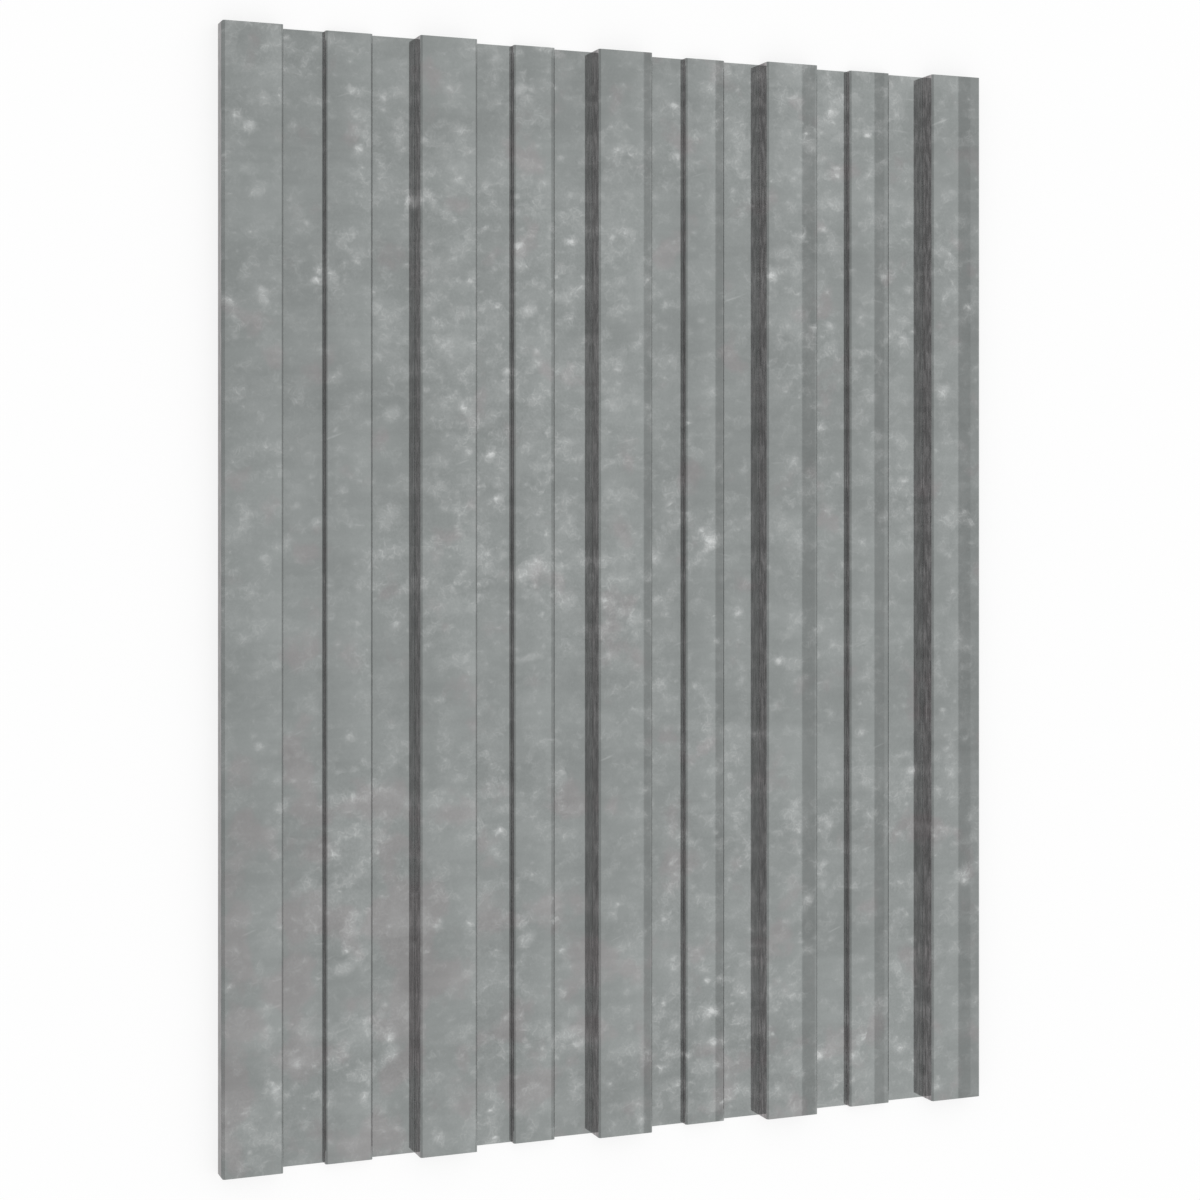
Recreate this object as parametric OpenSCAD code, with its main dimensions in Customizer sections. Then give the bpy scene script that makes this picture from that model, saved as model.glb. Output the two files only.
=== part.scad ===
// Box-ribbed corrugated sheet, rolled from one piece of galvanised steel.
// It lies on its valleys: X runs across the ribs, Y along them and Z up, in millimetres.
// The origin is on the floor under the middle of the sheet.

/* [Sheet] */
// Length of the sheet along its ribs
sheet_len = 600; // [300:10:2400]
// Thickness of the steel
sheet_t = 0.5; // [0.35:0.05:0.8]
// Inside radius of the bends at the shoulders of the ribs
shoulder_r = 0.8; // [0.4:0.1:1.5]
// Inside radius of the bends at the feet of the ribs, which are folded tighter
foot_r = 0.3; // [0.2:0.1:1.5]
// Number of bays between the two edge bays
mid_bays = 2; // [1:1:6]

/* [High ribs] */
// Width of a high rib over its webs
high_rib_w = 32; // [20:0.5:60]
// Height of a high rib above the valleys
high_rib_h = 11.5; // [9:0.5:30]

/* [Low ribs] */
// Height of a low rib above the valleys
low_rib_h = 4.4; // [4.2:0.1:8]
// Width of the low rib in an edge bay, over its webs
edge_low_rib_w = 25.8; // [15:0.2:40]
// Width of the low rib in a middle bay, over its webs
mid_low_rib_w = 24; // [15:0.2:40]

/* [Valleys] */
// Width of each of the two valleys in an edge bay, between webs
edge_valley_w = 24.4; // [12:0.2:60]
// Width of each of the two valleys in a middle bay, between webs
mid_valley_w = 23.2; // [12:0.2:60]

/* [Hidden] */
$fn = 96;

// The section from left to right, as strips of [width, height above the valleys]
high_rib = [[high_rib_w, high_rib_h]];
edge_bay = bay(edge_valley_w, edge_low_rib_w);
mid_bay = bay(mid_valley_w, mid_low_rib_w);
mid_part = [for (i = [1 : mid_bays]) each concat(mid_bay, high_rib)];
strips = concat(high_rib, edge_bay, high_rib, mid_part, edge_bay, high_rib);
last = len(strips) - 1;
sheet_w = left_of(last + 1);

// A bay is a low rib with a valley on each side of it
function bay(valley_w, low_w) = [[valley_w, 0], [low_w, low_rib_h], [valley_w, 0]];

// Distance of a strip's left side from the left edge of the sheet
function left_of(i) = i == 0 ? 0 : left_of(i - 1) + strips[i - 1][0];

// Quarter of a bend round its centre, on the sides that the signs of x and z give
module bend(inside_r, x, z, side_x, side_z) {
    reach = inside_r + sheet_t + 1;
    translate([x, z])
        intersection() {
            difference() {
                circle(r = inside_r + sheet_t);
                circle(r = inside_r);
            }
            translate([side_x < 0 ? -reach : 0, side_z < 0 ? -reach : 0])
                square(reach);
        }
}

// Left web of a rib with its bends; a web at the edge of the sheet ends in a cut edge on the floor
module web(rib_h, is_sheet_edge) {
    web_low = is_sheet_edge ? 0 : sheet_t + foot_r;
    web_high = rib_h - shoulder_r;
    translate([0, web_low])
        square([sheet_t, web_high - web_low]);
    bend(shoulder_r, sheet_t + shoulder_r, web_high, -1, 1);
    if (!is_sheet_edge)
        bend(foot_r, -foot_r, web_low, 1, -1);
}

// Flat crest of a rib between its two webs
module rib(rib_w, rib_h, left_edge, right_edge) {
    crest_x = sheet_t + shoulder_r;
    translate([crest_x, rib_h])
        square([rib_w - 2 * crest_x, sheet_t]);
    web(rib_h, left_edge);
    translate([rib_w, 0])
        mirror([1, 0])
            web(rib_h, right_edge);
}

// Flat floor of a valley between the bends of its two neighbours
module valley(valley_w) {
    translate([foot_r, 0])
        square([valley_w - 2 * foot_r, sheet_t]);
}

// Section of the whole sheet, with its underside at zero
module section() {
    for (i = [0 : last])
        translate([left_of(i) - sheet_w / 2, 0])
            if (strips[i][1] > 0)
                rib(strips[i][0], strips[i][1], i == 0, i == last);
            else
                valley(strips[i][0]);
}

module corrugated_sheet() {
    color([0.58, 0.6, 0.59])
        rotate([90, 0, 0])
            linear_extrude(height = sheet_len, center = true)
                section();
}

corrugated_sheet();
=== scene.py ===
import math

import bpy
import numpy as np
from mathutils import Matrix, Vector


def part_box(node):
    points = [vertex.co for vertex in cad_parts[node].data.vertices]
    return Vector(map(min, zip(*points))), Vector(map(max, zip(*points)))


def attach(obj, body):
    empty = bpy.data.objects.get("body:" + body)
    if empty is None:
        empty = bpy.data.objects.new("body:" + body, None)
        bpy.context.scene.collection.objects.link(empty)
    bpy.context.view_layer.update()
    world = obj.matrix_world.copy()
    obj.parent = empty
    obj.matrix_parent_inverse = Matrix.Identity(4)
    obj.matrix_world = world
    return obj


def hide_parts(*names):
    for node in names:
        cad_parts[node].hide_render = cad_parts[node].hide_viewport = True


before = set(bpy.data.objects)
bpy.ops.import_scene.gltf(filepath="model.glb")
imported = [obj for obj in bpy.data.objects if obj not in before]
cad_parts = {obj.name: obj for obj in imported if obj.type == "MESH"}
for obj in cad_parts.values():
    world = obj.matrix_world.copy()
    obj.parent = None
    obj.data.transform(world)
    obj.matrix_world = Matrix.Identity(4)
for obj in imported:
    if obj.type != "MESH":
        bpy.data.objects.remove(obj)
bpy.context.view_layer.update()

NODE = "corrugated_sheet"
MM = 0.001

# Section of the sheet in millimetres, as the CAD part has it: strips of (width, height above the valleys)
SHEET_T = 0.5
SHOULDER_R = 0.8
FOOT_R = 0.3
HIGH_RIB = (32.0, 11.5)
EDGE_BAY = ((24.4, 0.0), (25.8, 4.4), (24.4, 0.0))
MID_BAY = ((23.2, 0.0), (24.0, 4.4), (23.2, 0.0))
STRIPS = [HIGH_RIB, *EDGE_BAY, HIGH_RIB, *MID_BAY, HIGH_RIB, *MID_BAY, HIGH_RIB, *EDGE_BAY, HIGH_RIB]
SHEET_W = sum(width for width, _ in STRIPS)

# Mesh density
BEND_STEPS = 8
CREST_STEPS = 10
VALLEY_STEPS = 6
LENGTH_STEPS = 24

# Crests are shaded as if crowned: the tilt of their normals at both edges, in degrees
CREST_TILT = 6.3

# Left shoulders are shaded as if rolled nearly flat: their tilt in degrees, and the share of the bend at each
# of its ends where it still turns
FLAT_TILT = (40.0, 50.0)
FLAT_END = 0.15

# The left outer shoulder is shaded as if rolled wider: the height where the shading of its web leaves the
# upright, and the rise within which it turns, in millimetres
WIDE_FROM = 7.0
WIDE_TURN = 1.0

# Camera in the part's frame, in metres: turned about Y by CAMERA_TURN, with the photograph's 1200 pixel frame
IMAGE_PX = 1200
CAMERA_TURN = math.radians(21.47)
CAMERA_AT = (-0.4746, 0.0541, 1.1792)
FOCAL_PX = 2277.9
CENTRE_Y_PX = 495.2
SENSOR_MM = 36.0

# Colours of the zinc
COOL_GREY = (0.270, 0.288, 0.283, 1.0)
WARM_GREY = (0.288, 0.285, 0.284, 1.0)
# The webs' grey is painted light: a slightly lighter, warmer copy of the zinc, set so that the shade the webs
# mirror comes out neutral and at its level
WEB_GREY_PAINTED_LIGHT = (0.303, 0.286, 0.290, 1.0)
STAIN_WHITE = (0.60, 0.615, 0.61, 1.0)
EDGE_TINT = (0.75, 0.75, 0.75, 1.0)
METALLIC = 0.8
ROUGHNESS = (0.04, 0.19)

# Sizes of what the finish is made of, in millimetres
WARM_SIZE = 30.0
ZONE_SIZE = 40.0
BAND_SIZE = 6.0
GATHER_SIZE = 70.0
MIST_SIZE = 24.0
SHAKE_SIZE = 5.0
SHAKE_WILD = 4.5
SHAKE_SOFT = 2.4
TUFT_SIZE = 10.5
WISP_LENGTH = 5.0
WISP_WIDTH = 1.5
STROKE_WIDTH = 4.2
GRAIN_SIZE = 1.4
LINE_SIZE = 0.9
STREAK_SIZE = 1.4
CLOUD_SIZE = 3.4

# Directions in degrees from X towards Y, and how far forms are drawn out in them
SMUDGE_RISE = 8
TUFT_STRETCH = 1.25
SPOT_STRETCH = 1.2
STROKE_STRETCH = 7.5
WISP_TURNS = (0, 60, -60)
STROKE_TURNS = (20, -5)

# Scale of drawn-out forms along their length, as a share of that across it, and a slight turn in radians
ZONE_ALONG = 0.28
ZONE_TURN = 0.06
BAND_ALONG = 0.14
LINE_ALONG = 0.004
STREAK_ALONG = 0.07
CLOUD_ALONG = 0.32

# Levels of its noise between which each form comes in
WARM_RANGE = (0.60, 0.76)
ZONE_RANGE = (0.28, 0.70)
BAND_RANGE = (0.28, 0.72)
GATHER_RANGE = (0.36, 0.72)
MIST_RANGE = (0.40, 0.70)
TUFT_RANGE = (0.45, 0.73)
WISP_RANGE = (0.53, 0.76)
STROKE_RANGE = (0.80, 0.94)
LINE_RANGE = (0.25, 0.75)
STREAK_RANGE = (0.28, 0.72)
CLOUD_RANGE = (0.35, 0.75)

# Darkest and lightest tone that each form gives the zinc
ZONE_TONES = (0.925, 1.04)
BAND_TONES = (0.975, 1.02)
LINE_TONES = (0.88, 1.14)
STREAK_TONES = (0.84, 1.16)
CLOUD_TONES = (0.83, 1.45)

# How strongly stains and grain show; a pair is for where stains, tufts or wisps are thin and where they are
# thick
STAIN_THICKNESS = (0.4, 1.0)
MIST_LEVELS = (0.05, 0.12)
GRAIN_LEVELS = (0.06, 0.16)
FLUFF_IN_TUFTS = (0.25, 1.0)
SPOTS_IN_TUFTS = (0.50, 1.15)
SPOTS_IN_WISPS = (0.80, 1.25)
SPOT_CORE = 0.8
TUFT_LEVEL = 0.175
FLUFF_LEVEL = 0.24
MARK_LEVEL = 0.85
STROKE_LEVEL = 0.25
WEB_STAIN = 0.12

# Soft white spots, from few and bright to many and faint: cell width in millimetres, radii in cells, share of
# the cells that have one, strength, and a move that keeps the kinds apart
SPOT_KINDS = (
    (24.0, (0.18, 0.40), 0.45, 0.80, (0, 0, 0)),
    (14.0, (0.22, 0.46), 0.50, 0.74, (6.1, 3.7, 0)),
    (7.0, (0.25, 0.52), 0.50, 0.37, (2.3, 1.1, 0)),
)

# Where stains gather or, with a negative strength, stay away: middle x, y and reach in x, y on the sheet, in
# millimetres, and strength
STAIN_AREAS = (
    (-75, 130, 80, 150, 0.28),
    (60, -265, 190, 60, 0.14),
    (110, 260, 120, 80, 0.12),
    (205, 90, 40, 140, 0.10),
    (-195, 0, 50, 330, -0.16),
    (130, -70, 90, 120, -0.15),
)

# Where the zinc has a warmer tint: middle x, y and reach in x, y, in millimetres, and strength
WARM_AREAS = (
    (-218, -210, 14, 180, 0.24),
    (-181, -170, 20, 220, 0.19),
    (-131, -165, 22, 190, 0.16),
    (-130, -200, 160, 220, 0.07),
    (-12, -15, 12, 60, 0.22),
    (0, -240, 330, 160, 0.06),
)

# The marks that stand out most, by their turn in degrees: middle x, y, half length and half width in
# millimetres, and strength
MARKS = {
    35: (
        (-54, 14, 7.5, 3.5, 0.34),
        (-55, 155, 4.2, 2.8, 0.50),
        (-56, -189, 4.5, 2.8, 0.42),
        (-131, 98, 4.2, 3.0, 0.38),
        (-132, -246, 4.5, 3.0, 0.38),
        (214, -168, 4.2, 3.0, 0.55),
        (-60, 276, 3.6, 2.2, 0.52),
        (200, 115, 4.2, 3.1, 0.38),
        (112, -177, 3.3, 2.4, 0.60),
    ),
    10: (
        (-30, -244, 7.5, 3.0, 0.45),
        (98, 192, 8.0, 2.9, 0.30),
        (-159, -197, 4.0, 2.6, 0.42),
        (6, -14, 4.0, 3.4, 0.30),
        (-55, -35, 7.0, 1.7, 0.32),
    ),
    -55: (
        (113, 254, 4.6, 2.8, 0.50),
        (-113, 213, 4.4, 2.0, 0.38),
    ),
}

# Webs are where the normal's X is large
WEB_TURN = (0.75, 0.95)

# Webs at the sheet's two long edges get painted shade, for how dimly they mirror their surroundings; it comes
# in between two distances from their inner faces, in millimetres
OUTER_PAINTED_SHADE = 0.66
OUTER_FADE = (-0.1, 0.3)

# Painted shade darkens the folds at the ribs' feet: it fades out between two heights, in millimetres, and
# comes in as the normal's X grows
FOLD_PAINTED_SHADE = 0.65
FOLD_FADE = (1.2, 0.9)
FOLD_TURN = (0.10, 0.30)

# Studio round the sheet, for what the metal mirrors: a wide soft box overhead and dimmer walls beside it.
# Edges are angles from Z towards X, the rest are levels of white, and BOX_RISE is what the box gains a radian
BOX_EDGE = math.radians(31.65)
WALL_EDGE = math.radians(39.0)
LEFT_EDGE = math.radians(-36.0)
DIM_STRIP = 0.70
DIM_WALL = 0.85
DIM_LEFT = 0.625
BOX_MIDDLE = 0.90
BOX_RISE = 0.32
WHITE = (1.0, 1.0, 1.0, 1.0)

# Pale floor, in metres; its glow lifts it towards white for the camera and in the metal
FLOOR_SIZE = 40.0
FLOOR_WHITE = (0.97, 0.97, 0.97, 1.0)
FLOOR_GLOW = 0.75


def as_bent(angle):
    """Shading of a tight foot, which follows its bend."""
    return angle


def as_flattened(angle):
    """Shading of a left shoulder rolled nearly flat, which stays close to 45 degrees."""
    share = abs(angle) / 90
    low, high = FLAT_TILT
    if share < FLAT_END:
        tilt = CREST_TILT + (low - CREST_TILT) * share / FLAT_END
    elif share > 1 - FLAT_END:
        tilt = high + (90 - high) * (share - 1 + FLAT_END) / FLAT_END
    else:
        tilt = low + (high - low) * (share - FLAT_END) / (1 - 2 * FLAT_END)
    return -tilt


def as_widened(angle):
    """Shading of the left outer shoulder, whose flattened part begins down on its web."""
    return max(as_flattened(angle), -FLAT_TILT[1])


def as_rounded(angle):
    """Shading of a right shoulder, which goes on from the crown's tilt."""
    return angle + CREST_TILT * (1 - angle / 90)


def section_samples():
    """Points along the sheet from its left edge to its right one: upper face, lower face, shading angle.

    The angle is that of the upper face's normal from +Z towards +X, in degrees.
    """
    samples = []
    shoulder_out = SHOULDER_R + SHEET_T
    foot_out = FOOT_R + SHEET_T

    def add(upper, lower, angle):
        samples.append((upper, lower, angle))

    def bend(cx, cz, start, stop, upper_r, lower_r, shade_of):
        """An arc about a centre, from one normal angle to another."""
        flip = 1 if upper_r > lower_r else -1
        for i in range(BEND_STEPS + 1):
            angle = start + (stop - start) * i / BEND_STEPS
            a = math.radians(angle)
            s, c = math.sin(a) * flip, math.cos(a) * flip
            upper = (cx + s * upper_r, cz + c * upper_r)
            lower = (cx + s * lower_r, cz + c * lower_r)
            add(upper, lower, shade_of(angle))

    def valley(x, w):
        for k in range(1, VALLEY_STEPS):
            px = x + FOOT_R + (w - 2 * FOOT_R) * k / VALLEY_STEPS
            add((px, SHEET_T), (px, 0.0), 0.0)

    def left_side(x, h, is_sheet_edge):
        """Left web of a rib with its foot and shoulder; at the sheet's edge it ends in a cut edge."""
        if is_sheet_edge:
            turned = WIDE_FROM + WIDE_TURN
            add((x, 0.0), (x + SHEET_T, 0.0), -90.0)
            add((x, WIDE_FROM), (x + SHEET_T, WIDE_FROM), -90.0)
            add((x, turned), (x + SHEET_T, turned), -FLAT_TILT[1])
        else:
            bend(x - FOOT_R, foot_out, 0, -90, FOOT_R, foot_out, as_bent)
        shade = as_widened if is_sheet_edge else as_flattened
        bend(x + shoulder_out, h - SHOULDER_R, -90, 0, shoulder_out, SHOULDER_R, shade)

    def crest(x, w, h):
        for k in range(1, CREST_STEPS):
            share = k / CREST_STEPS
            px = x + shoulder_out + (w - 2 * shoulder_out) * share
            add((px, h + SHEET_T), (px, h), CREST_TILT * (2 * share - 1))

    def right_side(x, h, is_sheet_edge):
        """Right web of a rib with its shoulder and foot."""
        bend(x - shoulder_out, h - SHOULDER_R, 0, 90, shoulder_out, SHOULDER_R, as_rounded)
        if is_sheet_edge:
            add((x, 0.0), (x - SHEET_T, 0.0), 90.0)
        else:
            bend(x + FOOT_R, foot_out, 90, 0, FOOT_R, foot_out, as_bent)

    x = -SHEET_W / 2
    for i, (w, h) in enumerate(STRIPS):
        if h == 0:
            valley(x, w)
        else:
            left_side(x, h, i == 0)
            crest(x, w, h)
            right_side(x + w, h, i == len(STRIPS) - 1)
        x += w
    return samples


def make_sheet():
    """One closed mesh of the rolled sheet, with the shading normals of its section."""
    low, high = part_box(NODE)
    ys = np.linspace(low.y, high.y, LENGTH_STEPS + 1)
    samples = section_samples()
    n, m = len(samples), len(ys)
    last, end = n - 1, m - 1
    verts = []
    for side in (0, 1):
        for sample in samples:
            px, pz = sample[side]
            verts += [(px * MM, y, pz * MM) for y in ys]

    def index(side, i, j):
        return (side * n + i) * m + j

    def up(i):
        a = math.radians(samples[i][2])
        return (math.sin(a), 0.0, math.cos(a))

    def down(i):
        return tuple(-v for v in up(i))

    faces, normals = [], []

    def face(corners, corner_normals):
        faces.append([index(*corner) for corner in corners])
        normals.extend(corner_normals)

    front, back, under = [(0.0, -1.0, 0.0)] * 4, [(0.0, 1.0, 0.0)] * 4, [(0.0, 0.0, -1.0)] * 4
    for i in range(last):
        k = i + 1
        for j in range(end):
            face(((0, i, j), (0, k, j), (0, k, j + 1), (0, i, j + 1)), (up(i), up(k), up(k), up(i)))
            face(((1, i, j), (1, i, j + 1), (1, k, j + 1), (1, k, j)), (down(i), down(i), down(k), down(k)))
        face(((0, i, 0), (1, i, 0), (1, k, 0), (0, k, 0)), front)
        face(((0, i, end), (0, k, end), (1, k, end), (1, i, end)), back)
    for j in range(end):
        face(((0, 0, j), (0, 0, j + 1), (1, 0, j + 1), (1, 0, j)), under)
        face(((0, last, j), (1, last, j), (1, last, j + 1), (0, last, j + 1)), under)

    mesh = bpy.data.meshes.new("rolled_sheet")
    mesh.from_pydata(verts, [], faces)
    mesh.polygons.foreach_set("use_smooth", [True] * len(mesh.polygons))
    mesh.normals_split_custom_set(normals)
    mesh.update()
    sheet = bpy.data.objects.new("rolled_sheet", mesh)
    bpy.context.scene.collection.objects.link(sheet)
    return sheet


class Nodes:
    """Short names for the nodes of one material.

    Sizes and places on the sheet are in millimetres. A move only picks another part of a pattern.
    """

    def __init__(self, tree):
        self.tree = tree
        tree.nodes.clear()

    def add(self, kind, inputs=None, **settings):
        node = self.tree.nodes.new(kind)
        for name, value in settings.items():
            setattr(node, name, value)
        for name, value in (inputs or {}).items():
            self.put(node.inputs[name], value)
        return node

    def put(self, socket, value):
        """Link a socket to another one, or set its constant value."""
        if isinstance(value, bpy.types.NodeSocket):
            self.tree.links.new(value, socket)
        else:
            socket.default_value = value

    def math(self, operation, a, b=0.0, c=0.0, clamp=False):
        node = self.add("ShaderNodeMath", {0: a, 1: b, 2: c}, operation=operation, use_clamp=clamp)
        return node.outputs[0]

    def plus(self, total, value, share):
        """A total with a share of a value added to it."""
        return self.math("MULTIPLY_ADD", value, share, total)

    def between(self, value, low, high):
        """A level that goes from low to high as a value goes from 0 to 1."""
        return self.math("MULTIPLY_ADD", value, high - low, low)

    def ramp(self, value, low, high, to_low=0.0, to_high=1.0):
        """Smooth step of a value from low to high."""
        node = self.add(
            "ShaderNodeMapRange",
            {"Value": value, "From Min": low, "From Max": high, "To Min": to_low, "To Max": to_high},
            interpolation_type="SMOOTHSTEP",
        )
        return node.outputs["Result"]

    def mix(self, factor, a, b, blend="MIX"):
        node = self.add("ShaderNodeMix", data_type="RGBA", blend_type=blend)
        self.put(node.inputs["Factor"], factor)
        self.put(node.inputs["A"], a)
        self.put(node.inputs["B"], b)
        return [s for s in node.outputs if s.type == "RGBA"][0]

    def shade(self, colour, level):
        """A colour times a level."""
        return self.mix(1.0, colour, level, blend="MULTIPLY")

    def place(self, vector, move=(0, 0, 0), turn=0.0, scale=(1, 1, 1)):
        """The vector scaled, then turned about Z, then moved."""
        if turn:
            node = self.add(
                "ShaderNodeMapping",
                {"Vector": vector, "Location": move, "Rotation": (0, 0, turn), "Scale": scale},
            )
        else:
            node = self.add("ShaderNodeVectorMath", {0: vector, 1: scale, 2: move}, operation="MULTIPLY_ADD")
        return node.outputs[0]

    def drawn(self, vector, degrees, stretch, move=(0, 0, 0)):
        """The vector for a pattern that is drawn out in a direction."""
        turned = self.place(vector, turn=math.radians(-degrees))
        return self.place(turned, move=move, scale=(1.0 / stretch, 1.0, 1.0))

    def noise(self, vector, size, detail=2.0, roughness=0.5):
        """Flat noise whose features are about as wide as size."""
        node = self.add(
            "ShaderNodeTexNoise",
            {"Vector": vector, "Scale": 1.0 / (size * MM), "Detail": detail, "Roughness": roughness},
            noise_dimensions="2D",
        )
        return node.outputs["Fac"]

    def shaken(self, vector, size, reaches):
        """The vector moved about by noise, once for each reach, so that soft forms get uneven edges."""
        node = self.add(
            "ShaderNodeTexNoise",
            {"Vector": vector, "Scale": 1.0 / (size * MM), "Detail": 2.0},
            noise_dimensions="2D",
        )
        moved = []
        for reach in reaches:
            step = reach * MM
            start = self.place(vector, move=(-step / 2, -step / 2, 0))
            move = self.add(
                "ShaderNodeVectorMath",
                {0: node.outputs["Color"], 1: (step, step, 0), 2: start},
                operation="MULTIPLY_ADD",
            )
            moved.append(move.outputs[0])
        return moved

    def spots(self, vector, cell, radii, share):
        """Soft spots with a bright core, one in a share of the cells."""
        node = self.add(
            "ShaderNodeTexVoronoi",
            {"Vector": vector, "Scale": 1.0 / (cell * MM)},
            feature="F1",
            voronoi_dimensions="2D",
        )
        random = self.add("ShaderNodeSeparateColor", {0: node.outputs["Color"]})
        strength = self.ramp(random.outputs[0], 1.0 - share, 1.05)
        reach = self.between(random.outputs[1], *radii)
        near = self.math("SUBTRACT", 1.0, self.math("DIVIDE", node.outputs["Distance"], reach), clamp=True)
        halo = self.math("MULTIPLY", near, near)
        core = self.math("MULTIPLY", self.ramp(near, 0.5, 0.9), random.outputs[2])
        return self.math("MULTIPLY", self.plus(halo, core, SPOT_CORE), strength)

    def oval(self, vector, x, y, half_x, half_y):
        """Soft oval about a place: 1 in its middle, about a half at half_x, half_y and 0 at twice that."""
        wide, high = 2 * half_x, 2 * half_y
        scaled = self.place(vector, move=(-x / wide, -y / high, 0), scale=(1 / wide / MM, 1 / high / MM, 0))
        length = self.add("ShaderNodeVectorMath", {0: scaled}, operation="LENGTH").outputs["Value"]
        return self.ramp(length, 1.0, 0.1)

    def wisps(self, vector, degrees):
        """Fine uneven strokes of about one direction."""
        line = self.drawn(vector, degrees, WISP_LENGTH / WISP_WIDTH, move=(degrees, degrees, 0))
        return self.ramp(self.noise(line, WISP_WIDTH, roughness=0.6), *WISP_RANGE)


def zinc_tone(n, flat):
    """Cool grey with faint warm patches, and a tone that drifts in zones and bands across the ribs."""
    warm = n.noise(n.place(flat, move=(3.1, 0.7, 0)), WARM_SIZE, detail=3.0)
    for x, y, reach_x, reach_y, strength in WARM_AREAS:
        warm = n.plus(warm, n.oval(flat, x, y, reach_x / 2, reach_y / 2), strength)
    tone = n.mix(n.ramp(warm, *WARM_RANGE), COOL_GREY, WARM_GREY)
    across = n.place(flat, turn=ZONE_TURN, scale=(ZONE_ALONG, 1.0, 1.0))
    zones = n.noise(across, ZONE_SIZE, detail=3.0, roughness=0.55)
    tone = n.shade(tone, n.ramp(zones, *ZONE_RANGE, *ZONE_TONES))
    bands = n.noise(n.place(flat, move=(1.3, 2.2, 0), scale=(BAND_ALONG, 1.0, 1.0)), BAND_SIZE)
    return n.shade(tone, n.ramp(bands, *BAND_RANGE, *BAND_TONES))


def stain_gathering(n, flat):
    """Where stains lie thick on the sheet, from 0 to 1."""
    gather = n.noise(n.place(flat, move=(0.4, 5.2, 0)), GATHER_SIZE, detail=3.0, roughness=0.6)
    for x, y, reach_x, reach_y, strength in STAIN_AREAS:
        gather = n.plus(gather, n.oval(flat, x, y, reach_x / 2, reach_y / 2), strength)
    return n.ramp(gather, *GATHER_RANGE)


def stains(n, flat, cluster):
    """Pale mist, cottony tufts with wisps, soft white spots, the marks that stand out and a few strokes."""
    thick = n.between(cluster, *STAIN_THICKNESS)
    uneven, softer = n.shaken(flat, SHAKE_SIZE, (SHAKE_WILD, SHAKE_SOFT))

    mist = n.ramp(n.noise(flat, MIST_SIZE, detail=3.0, roughness=0.6), *MIST_RANGE)
    tuft_at = n.drawn(uneven, SMUDGE_RISE, TUFT_STRETCH, move=(5.0, 2.0, 0))
    tufts = n.ramp(n.noise(tuft_at, TUFT_SIZE, detail=3.0, roughness=0.52), *TUFT_RANGE)
    wisps = n.wisps(uneven, WISP_TURNS[0])
    for degrees in WISP_TURNS[1:]:
        wisps = n.math("MAXIMUM", wisps, n.wisps(uneven, degrees))
    fluff = n.math("MULTIPLY", wisps, n.between(tufts, *FLUFF_IN_TUFTS))
    veil = n.math("MULTIPLY", mist, n.between(cluster, *MIST_LEVELS))
    veil = n.plus(veil, n.math("MULTIPLY", tufts, thick), TUFT_LEVEL)
    veil = n.plus(veil, n.math("MULTIPLY", fluff, thick), FLUFF_LEVEL)

    slant = n.drawn(softer, SMUDGE_RISE, SPOT_STRETCH)
    spots = 0.0
    for cell, radii, share, strength, move in SPOT_KINDS:
        spots = n.plus(spots, n.spots(n.place(slant, move=move), cell, radii, share), strength)
    spots = n.math("MULTIPLY", spots, thick)
    spots = n.math("MULTIPLY", spots, n.between(tufts, *SPOTS_IN_TUFTS))
    for degrees, marks in MARKS.items():
        turn = math.radians(degrees)
        along = n.place(softer, turn=-turn)
        for x, y, half_length, half_width, strength in marks:
            u = x * math.cos(turn) + y * math.sin(turn)
            v = y * math.cos(turn) - x * math.sin(turn)
            spots = n.plus(spots, n.oval(along, u, v, half_length, half_width), MARK_LEVEL * strength)
    stain = n.plus(veil, spots, n.between(wisps, *SPOTS_IN_WISPS))

    for degrees in STROKE_TURNS:
        line = n.drawn(flat, degrees, STROKE_STRETCH, move=(4.4, degrees, 0))
        stroke = n.ramp(n.noise(line, STROKE_WIDTH, detail=1.0), *STROKE_RANGE)
        stain = n.plus(stain, stroke, STROKE_LEVEL)
    return n.math("MINIMUM", stain, 1.0)


def grained(n, colour, flat, cluster):
    """The colour with a fine grain, stronger where stains lie."""
    grain = n.math("SUBTRACT", n.noise(flat, GRAIN_SIZE), 0.5)
    return n.shade(colour, n.plus(1.0, grain, n.between(cluster, *GRAIN_LEVELS)))


def web_tone_and_painted_light(n, coords, stain):
    """Webs: a grey whose level and tint are painted light, drawing lines along the ribs, short streaks and
    clouds; painted shade darkens them at the sheet's two long edges.
    """
    along = n.add("ShaderNodeCombineXYZ", {0: coords.outputs["Z"], 1: coords.outputs["Y"]}).outputs[0]
    lines = n.noise(n.place(along, scale=(1.0, LINE_ALONG, 1.0)), LINE_SIZE)
    tone = n.shade(WEB_GREY_PAINTED_LIGHT, n.ramp(lines, *LINE_RANGE, *LINE_TONES))
    streaks = n.noise(n.place(along, move=(2.0, 1.0, 0), scale=(1.0, STREAK_ALONG, 1.0)), STREAK_SIZE)
    tone = n.shade(tone, n.ramp(streaks, *STREAK_RANGE, *STREAK_TONES))
    clouds = n.noise(n.place(along, scale=(1.0, CLOUD_ALONG, 1.0)), CLOUD_SIZE, detail=3.0, roughness=0.6)
    tone = n.shade(tone, n.ramp(clouds, *CLOUD_RANGE, *CLOUD_TONES))
    tone = n.mix(n.math("MULTIPLY", stain, WEB_STAIN), tone, STAIN_WHITE)
    # Painted shade: the webs at the sheet's two long edges are darkened, for how dimly they mirror their
    # surroundings
    from_middle = n.math("ABSOLUTE", coords.outputs["X"])
    inner, outer = [(SHEET_W / 2 - SHEET_T + fade) * MM for fade in OUTER_FADE]
    return n.shade(tone, n.ramp(from_middle, inner, outer, 1.0, OUTER_PAINTED_SHADE))


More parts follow.
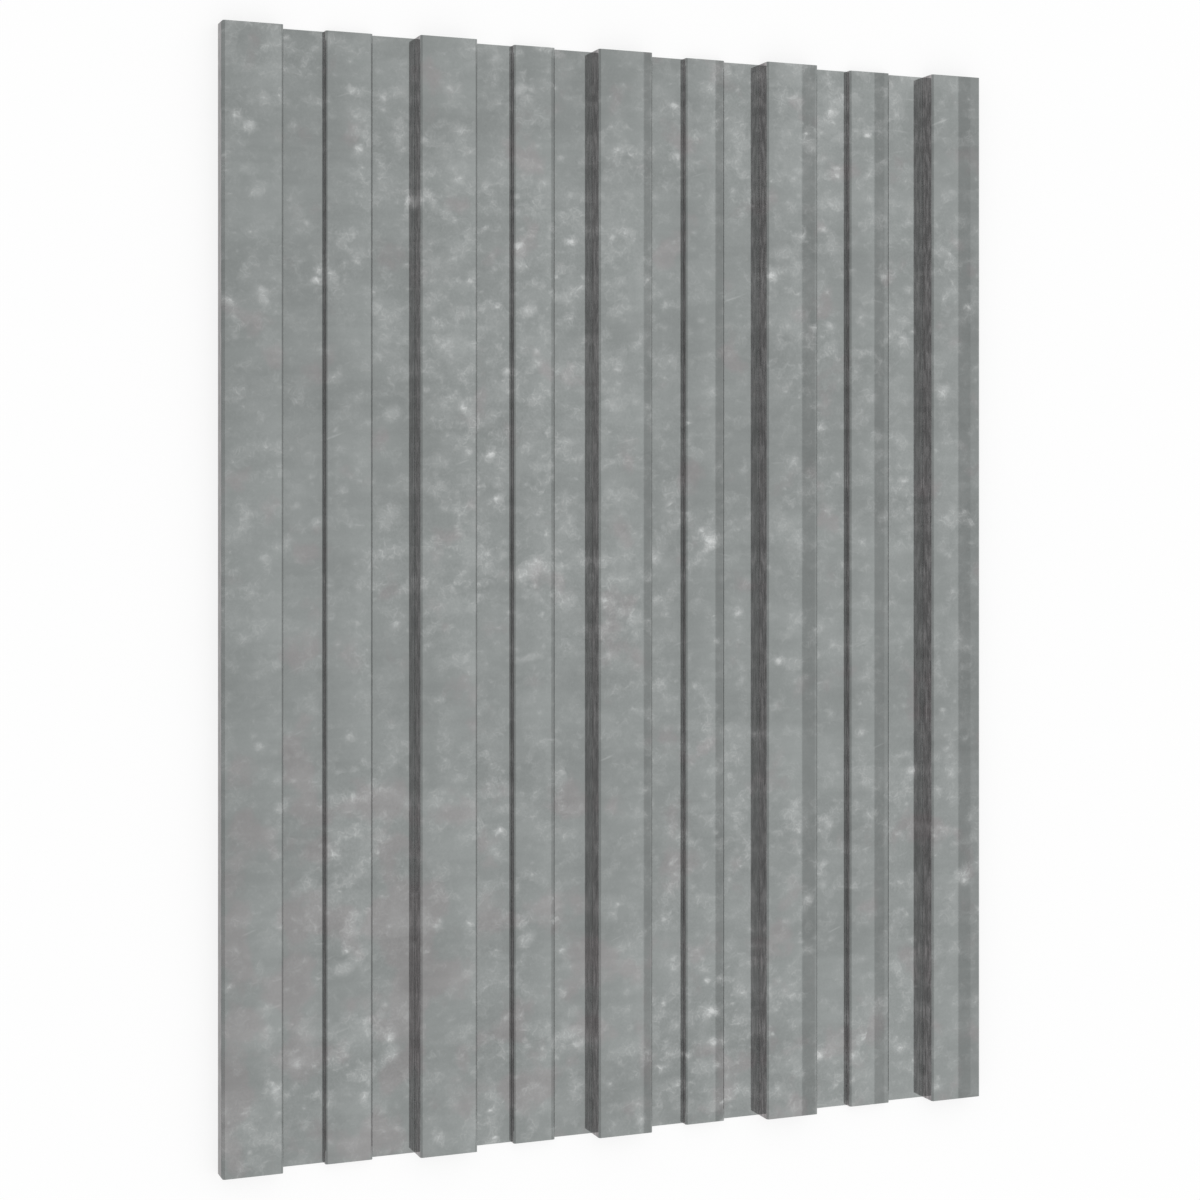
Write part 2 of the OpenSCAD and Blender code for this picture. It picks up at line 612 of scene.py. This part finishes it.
def galvanised_steel():
    """Dull bright zinc: cool grey with pale stains and streaked webs, with painted shade in the folds at the
    ribs' feet.
    """
    material = bpy.data.materials.new("galvanised_steel")
    material.use_nodes = True
    n = Nodes(material.node_tree)
    out = n.add("ShaderNodeOutputMaterial")
    place = n.add("ShaderNodeTexCoord")
    coords = n.add("ShaderNodeSeparateXYZ", {0: place.outputs["Object"]})
    flat = n.place(place.outputs["Object"], scale=(1.0, 1.0, 0.0))

    cluster = stain_gathering(n, flat)
    stain = stains(n, flat, cluster)
    colour = n.mix(stain, zinc_tone(n, flat), STAIN_WHITE)
    colour = grained(n, colour, flat, cluster)

    normal = n.add("ShaderNodeSeparateXYZ", {0: place.outputs["Normal"]})
    upright = n.math("ABSOLUTE", normal.outputs["X"])
    colour = n.mix(n.ramp(upright, *WEB_TURN), colour, web_tone_and_painted_light(n, coords, stain))
    # Painted shade in the folds at the ribs' feet, where the webs meet the valleys
    low = n.ramp(coords.outputs["Z"], FOLD_FADE[0] * MM, FOLD_FADE[1] * MM)
    fold = n.math("MULTIPLY", n.ramp(upright, *FOLD_TURN), low)
    colour = n.shade(colour, n.between(fold, 1.0, FOLD_PAINTED_SHADE))

    shader = n.add("ShaderNodeBsdfPrincipled", {"Metallic": METALLIC, "Specular Tint": EDGE_TINT})
    n.put(shader.inputs["Base Color"], colour)
    n.put(shader.inputs["Roughness"], n.between(stain, *ROUGHNESS))
    n.put(out.inputs["Surface"], shader.outputs[0])
    return material


def make_floor():
    """A pale floor that keeps the sheet's shadow."""
    bpy.ops.mesh.primitive_plane_add(size=FLOOR_SIZE, location=(0, 0, 0))
    floor = bpy.context.object
    floor.name = "floor"
    material = bpy.data.materials.new("pale_floor")
    material.use_nodes = True
    n = Nodes(material.node_tree)
    out = n.add("ShaderNodeOutputMaterial")
    diffuse = n.add("ShaderNodeBsdfDiffuse", {"Color": FLOOR_WHITE})
    glow = n.add("ShaderNodeEmission", {"Color": WHITE, "Strength": 1.0})
    path = n.add("ShaderNodeLightPath")
    seen = n.math("MAXIMUM", path.outputs["Is Camera Ray"], path.outputs["Is Glossy Ray"])
    seen = n.math("MAXIMUM", seen, path.outputs["Is Transmission Ray"])
    share = n.math("MULTIPLY", seen, FLOOR_GLOW)
    both = n.add("ShaderNodeMixShader", {0: share, 1: diffuse.outputs[0], 2: glow.outputs[0]})
    n.put(out.inputs["Surface"], both.outputs[0])
    material.cycles.emission_sampling = "NONE"
    floor.data.materials.append(material)


def make_world():
    """White studio light; mirrored in the metal it has a soft box overhead and dimmer walls."""
    world = bpy.data.worlds.new("studio")
    bpy.context.scene.world = world
    world.use_nodes = True
    world.cycles.sampling_method = "NONE"
    n = Nodes(world.node_tree)
    out = n.add("ShaderNodeOutputWorld")
    direction = n.add("ShaderNodeSeparateXYZ", {0: n.add("ShaderNodeTexCoord").outputs["Generated"]})
    angle = n.math("ARCTAN2", direction.outputs["X"], direction.outputs["Z"])
    past_box = n.math("GREATER_THAN", angle, BOX_EDGE)
    past_strip = n.math("GREATER_THAN", angle, WALL_EDGE)
    past_left = n.math("LESS_THAN", angle, LEFT_EDGE)
    rise = n.math("MULTIPLY_ADD", n.math("ABSOLUTE", angle), BOX_RISE, BOX_MIDDLE)
    level = n.math("MULTIPLY", n.math("SUBTRACT", 1.0, past_box), rise)
    level = n.plus(level, past_box, DIM_STRIP)
    level = n.plus(level, past_strip, DIM_WALL - DIM_STRIP)
    level = n.math("MULTIPLY", n.math("SUBTRACT", 1.0, past_left), level)
    level = n.plus(level, past_left, DIM_LEFT)
    path = n.add("ShaderNodeLightPath")
    strength = n.math("MULTIPLY_ADD", n.math("SUBTRACT", level, 1.0), path.outputs["Is Glossy Ray"], 1.0)
    light = n.add("ShaderNodeBackground", {"Color": WHITE, "Strength": strength})
    n.put(out.inputs["Surface"], light.outputs[0])


def make_camera():
    """The photograph's view, which looks down on the sheet from its left."""
    data = bpy.data.cameras.new("camera")
    camera = bpy.data.objects.new("camera", data)
    bpy.context.scene.collection.objects.link(camera)
    camera.location = CAMERA_AT
    camera.rotation_euler = (0.0, -CAMERA_TURN, 0.0)
    data.sensor_width = SENSOR_MM
    data.lens = FOCAL_PX / IMAGE_PX * SENSOR_MM
    data.shift_y = (CENTRE_Y_PX - IMAGE_PX / 2) / IMAGE_PX
    data.clip_end = 2 * FLOOR_SIZE
    bpy.context.scene.camera = camera


sheet = make_sheet()
sheet.data.materials.append(galvanised_steel())
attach(sheet, "root")
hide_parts(NODE)
make_floor()
make_world()
make_camera()
bpy.context.scene.view_settings.view_transform = "Standard"
